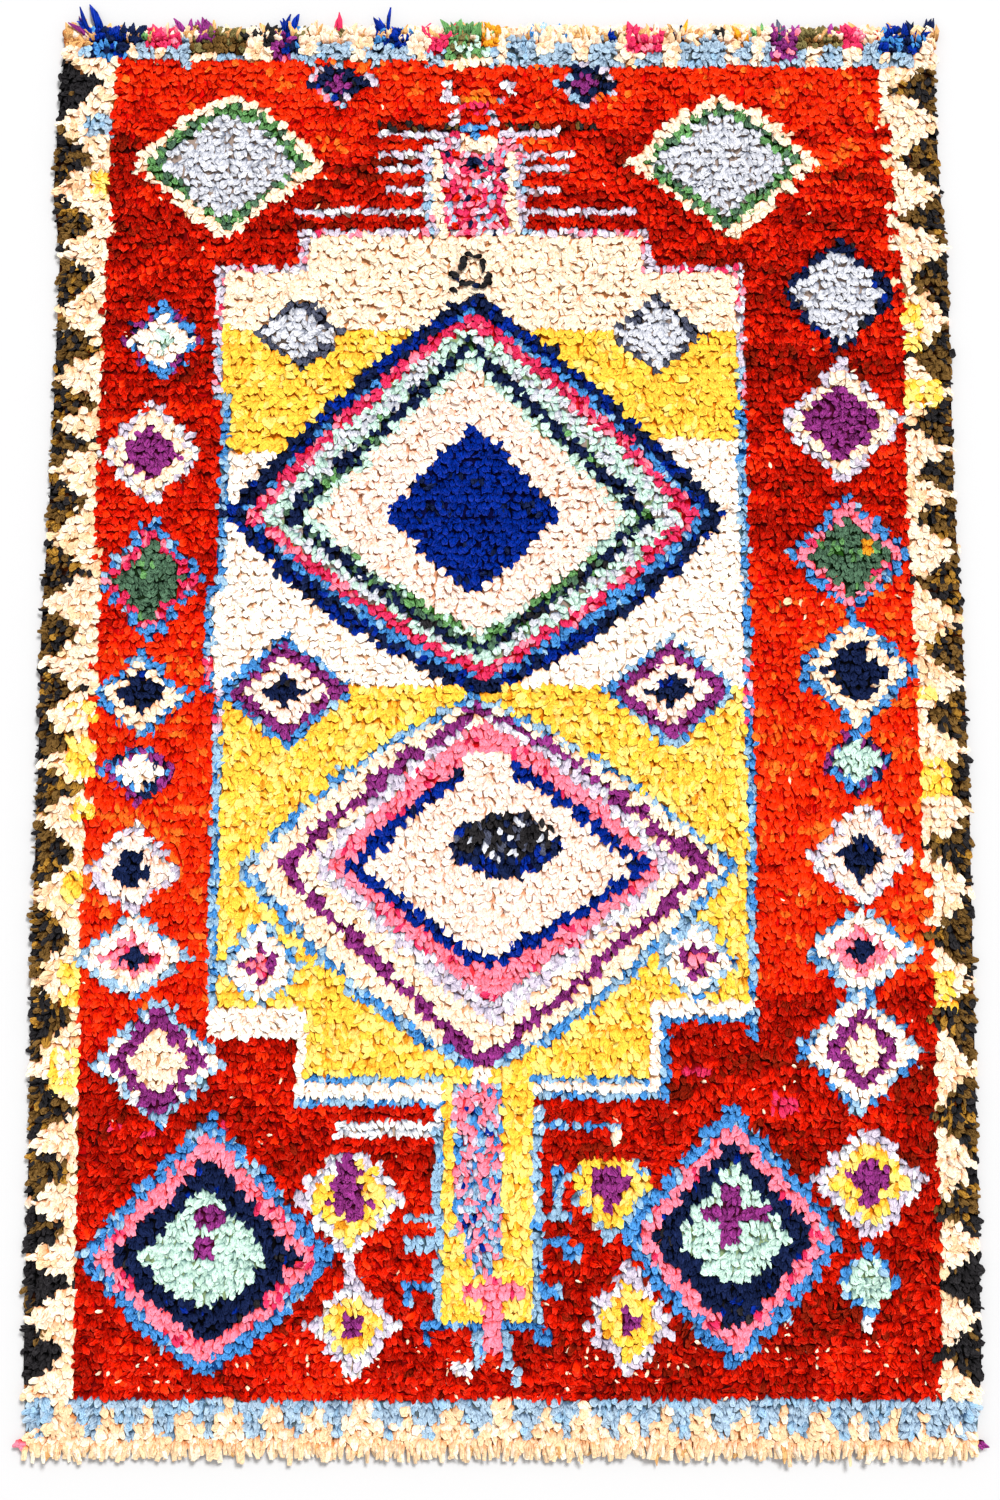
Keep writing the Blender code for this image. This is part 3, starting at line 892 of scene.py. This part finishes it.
def petalsFor(here, family, across, along, scale):
    count = int(here.sum())
    turn = yaw[here] + np.radians(rng.normal(0, tuft["turnSpread"], count))
    place = np.stack([x[here], y[here], np.zeros(count)], -1) + middle
    drift = [rng.normal(0, amount, count) for amount in tuft["jitter"]]
    place[:, 0] += across * hand[here] + drift[0] - tuft["lean"] * np.sin(turn)
    place[:, 1] += along + drift[1] + tuft["lean"] * np.cos(turn)
    size = rng.normal(1, tuft["sizeSpread"], (count, 3)) * scale
    size[:, 2] *= swell[here]
    size = np.clip(size, tuft["sizeRange"][0] * scale, tuft["sizeRange"][1] * scale)
    size[:, 0] *= spread[here]
    size[:, 1] *= stretch[here]
    which = rng.integers(0, len(family), count)
    lift = pitch[here] + np.radians(rng.normal(0, tuft["pitchSpread"], count))
    petals = placePetals(family, which, place, turn, lift, size)
    tone = shade[here] * (1 - tuft["ownShade"]) + tuft["ownShade"] * rng.random(count)
    return (*petals, tone, rng.random(count) * tuft["offsets"])


# pale ends of rag lie on the red ground, most of them low down, and dark ties make the crown
fleck = {
    "share": [(6, 0), (7, 0.24), (13, 0.18), (16, 0.045), (46, 0.035), (60, 0.006), (180, 0.010)],
    "rightShare": 0.10,
    "rightPlace": (114, 3),
    "rise": 0.0068,
    "scale": (0.55, 0.55, 0.45),
    "spin": 1.2,
}
tie = {"rise": 0.0084, "scale": (1.35, 0.85, 0.80), "spin": 0.3}
freeSpread = {"size": 0.10, "pitch": 0.08}


def freePetals(u, v, facing, look, rng):
    count = len(u)
    lean = tuft["lean"] * look["scale"][1]
    place = onCloth(u, v, look["rise"])
    turn = np.radians(facing) + rng.normal(0, look["spin"], count)
    place[:, 0] -= lean * np.sin(turn)
    place[:, 1] += lean * np.cos(turn)
    size = rng.normal(1, freeSpread["size"], (count, 3)) * look["scale"]
    which = rng.integers(0, len(slimPetals), count)
    lift = rng.normal(0, freeSpread["pitch"], count)
    petals = placePetals(slimPetals, which, place, turn, lift, size)
    return (*petals, rng.random(count), rng.random(count) * tuft["offsets"])


# short locks that the outer knots throw sideways, longer where the rag is dark
rimLock = {
    "across": 46.9,
    "between": (0.2, 0.8),
    "rise": 0.001,
    "sizeSpread": 0.12,
    "width": 0.9,
    "darkReach": 0.95,
    "paleReach": 0.60,
    "height": 0.95,
    "turn": (62, 26),
    "pitch": (0.12, 0.08),
}
darkCodes = [ragNames.index(name) for name in ("charcoal", "brown", "olive")]


def rimPetals(code, rng):
    blocks = []
    for column, side in ((0, -1), (-1, 1)):
        rows = np.flatnonzero(knotRag[column] == code)
        count = len(rows)
        v = rows + rng.uniform(*rimLock["between"], count)
        place = onCloth(side * rimLock["across"], v, rimLock["rise"])
        reach = rimLock["darkReach"] if code in darkCodes else rimLock["paleReach"]
        scale = [rimLock["width"], reach, rimLock["height"]]
        size = rng.normal(1, rimLock["sizeSpread"], (count, 3)) * scale
        turn = side * np.radians(rng.normal(*rimLock["turn"], count))
        which = rng.integers(0, len(slimPetals), count)
        petals = placePetals(slimPetals, which, place, turn, rng.normal(*rimLock["pitch"], count), size)
        blocks.append((*petals, rng.random(count), rng.random(count) * tuft["offsets"]))
    return blocks


hasThird = rng.random(shape) < tuft["thirdShare"]
onRight = knotU > redGround["rightFrom"]
fleckShare = np.interp(knotV, *zip(*fleck["share"]))
fleckShare = fleckShare + fleck["rightShare"] * bell(knotV, *fleck["rightPlace"]) * onRight
hasFleck = (chart < 0) & (rng.random(shape) < fleckShare)
strandPetals = (widePetals, slimPetals, slimPetals)
pile = []
for code, name in enumerate(ragNames):
    first, second = strandRags[0] == code, strandRags[1] == code
    third = (strandRags[2] == code) & hasThird
    if not (first | second | third).any():
        continue
    blocks = [petalsFor(here, family, *strand)
              for here, family, strand in zip((first, second, third), strandPetals, tuft["strands"])]
    blocks += rimPetals(code, rng)
    if name == "cream":
        blocks.append(freePetals(knotU[hasFleck], knotV[hasFleck], 0, fleck, rng))
    if name in crownTies:
        blocks.append(freePetals(*np.array(crownTies[name]).T, tie, rng))
    piece = joinPieces("pile" + name[0].upper() + name[1:], blocks, ragMaterials[name])
    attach(piece, "root")
    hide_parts("rug")
    pile.append(piece)
pileTriangles = sum(len(piece.data.loops) - 2 * len(piece.data.polygons) for piece in pile)
print("pile knotted:", pileTriangles, "triangles in", len(pile), "colours")

# rag ends along the head of the rug: the place of a bunch and half its width, how many strips,
# their length and lean, in mm, and whether they are full leaves
RagEnds = namedtuple("RagEnds", "place half strips length lean leaf", defaults=[False])
headEnds = {
    "cream": [(0, 735, 70, 24, 0)],
    "peach": [(0, 735, 40, 26, 0)],
    "gold": [(-14, 12, 7, 27, 0), (304, 4, 3, 33, 4), (403, 14, 5, 23, 0)],
    "red": [(634, 3, 2, 20, 0)],
    "pink": [(603, 8, 4, 21, 0)],
    "hotPink": [(-572, 26, 13, 21, 4), (-279, 3, 2, 38, 0), (-128, 5, 4, 32, -6), (-110, 14, 5, 15, 0),
                (-93, 5, 4, 32, 8), (245, 30, 15, 25, 0), (583, 11, 7, 27, 2)],
    "purple": [(-696, 5, 2, 50, -22), (-505, 28, 16, 38, -16), (-372, 10, 6, 22, 0),
               (480, 22, 13, 25, -4), (553, 3, 2, 39, 6)],
    "navy": [(-632, 18, 10, 27, 4), (300, 10, 5, 19, 0), (700, 26, 9, 37, 18)],
    "royal": [(-682, 14, 5, 56, -26), (-664, 24, 9, 24, 0), (-358, 10, 5, 42, -14),
              (-190, 22, 9, 26, 0), (-195, 5, 4, 50, 0), (184, 5, 3, 27, 2), (676, 34, 13, 30, 12)],
    "blue": [(40, 8, 4, 29, 0), (103, 5, 3, 29, 4)],
    "sky": [(61, 4, 2, 31, 6)],
    "green": [(-598, 5, 3, 25, 0), (-60, 30, 20, 33, 0), (435, 7, 4, 24, 0)],
    "slate": [(470, 5, 2, 35, 10)],
    "charcoal": [(-418, 12, 4, 25, 0), (-393, 13, 8, 25, 0), (373, 5, 3, 20, 0)],
    "olive": [(-480, 44, 20, 22, -4), (-338, 6, 4, 23, 0), (-265, 10, 5, 26, 0), (199, 4, 2, 23, 0),
              (536, 28, 15, 23, 0)],
    "tan": [(-720, 22, 10, 30, -14), (145, 28, 11, 25, 0), (726, 8, 6, 24, 4), (0, 735, 80, 26, 0)],
}
# and along its foot, hanging towards the front
footEnds = {
    "cream": [(0, 764, 120, 28, 0, True)],
    "peach": [(0, 764, 260, 28, 0, True)],
    "pink": [(-768, 4, 3, 16, -6)],
    "purple": [(764, 4, 2, 16, 6)],
    "tan": [(0, 764, 22, 30, 0)],
}
rag = {
    "head": 1.166,
    "foot": -1.153,
    "rise": 0.006,
    "stray": 0.003,
    "between": (0.1, 0.9),
    "long": (0.78, 1.08),
    "thick": (0.8, 1.3),
    "pitch": 5,
    "strip": {"made": 38, "slim": 0.7, "full": 1.4, "swing": 0.30},
    "leaf": {"made": 30, "slim": 0.5, "full": 0.95, "swing": 0.17},
}


def endBlocks(rows, name, along, turn, rng):
    blocks = []
    for row in (RagEnds(*each) for each in rows.get(name, [])):
        look, family = (rag["leaf"], leafPetals) if row.leaf else (rag["strip"], endStrips)
        count = row.strips
        spot = (np.arange(count) + rng.uniform(*rag["between"], count)) / count * 2 - 1
        x = (row.place + spot * row.half) / 1000
        y = along + rng.normal(0, rag["stray"], count)
        place = np.stack([x, y, np.full(count, rag["rise"])], -1) + middle
        length = row.length / look["made"] * rng.uniform(*rag["long"], count)
        width = rng.uniform(look["slim"], look["full"], count)
        size = np.stack([width, length, rng.uniform(*rag["thick"], count)], -1)
        yaw = turn - math.copysign(1, along) * np.arctan2(row.lean, row.length)
        yaw = yaw + rng.normal(0, look["swing"], count)
        which = rng.integers(0, len(family), count)
        lift = np.radians(rng.normal(0, rag["pitch"], count))
        petals = placePetals(family, which, place, yaw, lift, size)
        blocks.append((*petals, rng.random(count), rng.random(count) * tuft["offsets"]))
    return blocks


rng = np.random.default_rng(seeds["ends"])
headPieces, footPieces = [], []
for rows, along, turn, node, label, pieces in (
        (headEnds, rag["head"], math.pi, "top_fringe", "headEnds", headPieces),
        (footEnds, rag["foot"], 0, "bottom_fringe", "footEnds", footPieces)):
    for name in ragNames:
        blocks = endBlocks(rows, name, along, turn, rng)
        if not blocks:
            continue
        piece = joinPieces(label + name[0].upper() + name[1:], blocks, ragMaterials[name])
        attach(piece, "root")
        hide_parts(node)
        pieces.append(piece)
print("rag ends laid:", len(headPieces) + len(footPieces), "colours")

# the ground weave under the pile: knot feet above, knot backs and warps below
weave = {
    "back": 0.0008,
    "feet": 0.0078,
    "rimDrop": 0.003,
    "rimKnots": 1.5,
    "lumps": 0.0010,
    "warpColour": (196, 170, 128),
    "warpScale": 39,
    "warpRange": (0.62, 0.82),
    "warpWander": 0.6,
    "yarnScale": 320,
    "yarnBump": (0.5, 0.001),
    # painted shade on the knot feet seen between the strips: darker and warmer than their rag
    "feetShadeGamma": 2.1,
    "feetShadeTint": (0.70, 0.50, 0.35, 1),
    "topFrom": 0.002,
    "rough": 0.95,
    "gloss": 0.1,
}


def makeWeave():
    bpy.ops.object.select_all(action="DESELECT")
    bpy.ops.mesh.primitive_grid_add(x_subdivisions=cloth["columns"], y_subdivisions=cloth["rows"], size=2)
    piece = bpy.context.object
    piece.name = "groundWeave"
    wall = piece.modifiers.new("wall", "SOLIDIFY")
    wall.thickness = 0.004  # for now: each side gets its own height below
    wall.offset = 0
    bpy.ops.object.modifier_apply(modifier="wall")
    mesh = piece.data
    rng = np.random.default_rng(seeds["weave"])
    coords = np.zeros(len(mesh.vertices) * 3)
    mesh.vertices.foreach_get("co", coords)
    coords = coords.reshape(-1, 3)
    column, row = (coords[:, 0] + 1) * halfAcross, (coords[:, 1] + 1) * halfAlong
    x, y = knotPlace(column - halfAcross, row)
    inward = np.minimum(np.minimum(column, cloth["columns"] - column), np.minimum(row, cloth["rows"] - row))
    rim = np.clip(inward / weave["rimKnots"], 0, 1)
    feet = weave["feet"] - weave["rimDrop"] * (1 - rim) + weave["lumps"] * (rng.random(len(coords)) - 0.5)
    z = np.where(coords[:, 2] > 0, feet, weave["back"])
    mesh.vertices.foreach_set("co", (np.stack([x, y, z], -1) + middle).ravel())
    mesh.update()
    # each face of the weave takes the colour of its own knot
    starts = np.array([face.loop_start for face in mesh.polygons])
    totals = np.array([face.loop_total for face in mesh.polygons])
    corners = np.zeros(len(mesh.loops), int)
    mesh.loops.foreach_get("vertex_index", corners)
    knots = [np.clip(np.round(np.minimum.reduceat(line[corners], starts)).astype(int), 0, last - 1)
             for line, last in ((column, cloth["columns"]), (row, cloth["rows"]))]
    palette = np.array([(*linear(colour), 1) for colour in ragColours.values()])
    colours = np.repeat(palette[knotRag[tuple(knots)]], totals, 0)
    layer = mesh.attributes.new("knotColour", "FLOAT_COLOR", "CORNER")
    layer.data.foreach_set("color", colours.astype(np.float32).ravel())
    return piece


def mixColours(material, factor, first, second, **settings):
    inputs = {"Factor": factor, "A": first, "B": second}
    return addNode(material, "Mix", inputs, data_type="RGBA", **settings)["Result"]


def weaveCloth():
    material, shader = newCloth("groundWeave", weave["rough"], weave["gloss"])
    place = addNode(material, "TexCoord", {})["Object"]
    rise = addNode(material, "SeparateXYZ", {"Vector": place})["Z"]
    knots = addNode(material, "Attribute", {}, attribute_name="knotColour")["Color"]
    # painted shade: the feet take their knot's colour made darker and warmer
    shadedKnots = addNode(material, "Gamma", {"Color": knots, "Gamma": weave["feetShadeGamma"]})["Color"]
    feet = mixColours(material, 1, shadedKnots, weave["feetShadeTint"], blend_type="MULTIPLY")
    waves = {"Vector": place, "Scale": weave["warpScale"], "Distortion": weave["warpWander"], "Detail": 1}
    warps = addNode(material, "TexWave", waves, wave_type="BANDS", bands_direction="X")["Fac"]
    warps = rescale(material, warps, weave["warpRange"], (0, 1))
    backs = mixColours(material, warps, knots, (*linear(weave["warpColour"]), 1))
    isTop = calculate(material, "GREATER_THAN", rise, weave["topFrom"])
    colour = mixColours(material, isTop, backs, feet)
    material.node_tree.links.new(colour, shader.inputs["Base Color"])
    yarn = addNode(material, "TexNoise", {"Vector": place, "Scale": weave["yarnScale"]})["Fac"]
    addBump(material, shader, yarn, *weave["yarnBump"])
    return material


groundWeave = makeWeave()
groundWeave.data.materials.append(weaveCloth())
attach(groundWeave, "root")
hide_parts("rug")
print("ground woven")

# floor, light and camera
studio = {
    "floor": (0.585, 0.583, 0.585),
    "floorRough": 0.8,
    "floorSize": 14,
    "sky": 0.75,
    "sunPower": 3.8,
    "sunFrom": (0.30, 0.75, 1.0),
    "sunSize": 0.30,
    "sunPlace": (0.6, 2.0, 2.6),
}
bpy.ops.object.select_all(action="DESELECT")
bpy.ops.mesh.primitive_plane_add(size=studio["floorSize"], location=(0, 0, 0))
floor = bpy.context.object
floor.name = "floor"
floorPaint = bpy.data.materials.new("floorPaint")
floorPaint.use_nodes = True
floorShader = floorPaint.node_tree.nodes["Principled BSDF"]
floorShader.inputs["Base Color"].default_value = (*studio["floor"], 1)
floorShader.inputs["Roughness"].default_value = studio["floorRough"]
floor.data.materials.append(floorPaint)

world = bpy.data.worlds.new("studioLight")
scene.world = world
world.use_nodes = True
sky = world.node_tree.nodes["Background"]
sky.inputs["Color"].default_value = (1, 1, 1, 1)
sky.inputs["Strength"].default_value = studio["sky"]

sunLamp = bpy.data.lights.new("keyLight", "SUN")
sunLamp.energy = studio["sunPower"]
sunLamp.angle = studio["sunSize"]
sun = bpy.data.objects.new("keyLight", sunLamp)
scene.collection.objects.link(sun)
sun.location = studio["sunPlace"]
sun.rotation_euler = Vector(studio["sunFrom"]).to_track_quat("Z", "Y").to_euler()

view = {"distance": 3.44, "tilt": 4.7, "aimAcross": -0.003, "aimAlong": -0.04, "lens": 50}
lens = bpy.data.cameras.new("camera")
lens.lens = view["lens"]
camera = bpy.data.objects.new("camera", lens)
scene.collection.objects.link(camera)
tilt = math.radians(view["tilt"])
camera.location = (view["aimAcross"] + middle[0],
                   view["aimAlong"] - view["distance"] * math.sin(tilt) + middle[1],
                   view["distance"] * math.cos(tilt))
camera.rotation_euler = (tilt, 0, 0)
scene.camera = camera
scene.view_settings.view_transform = "Standard"
print("studio lit")
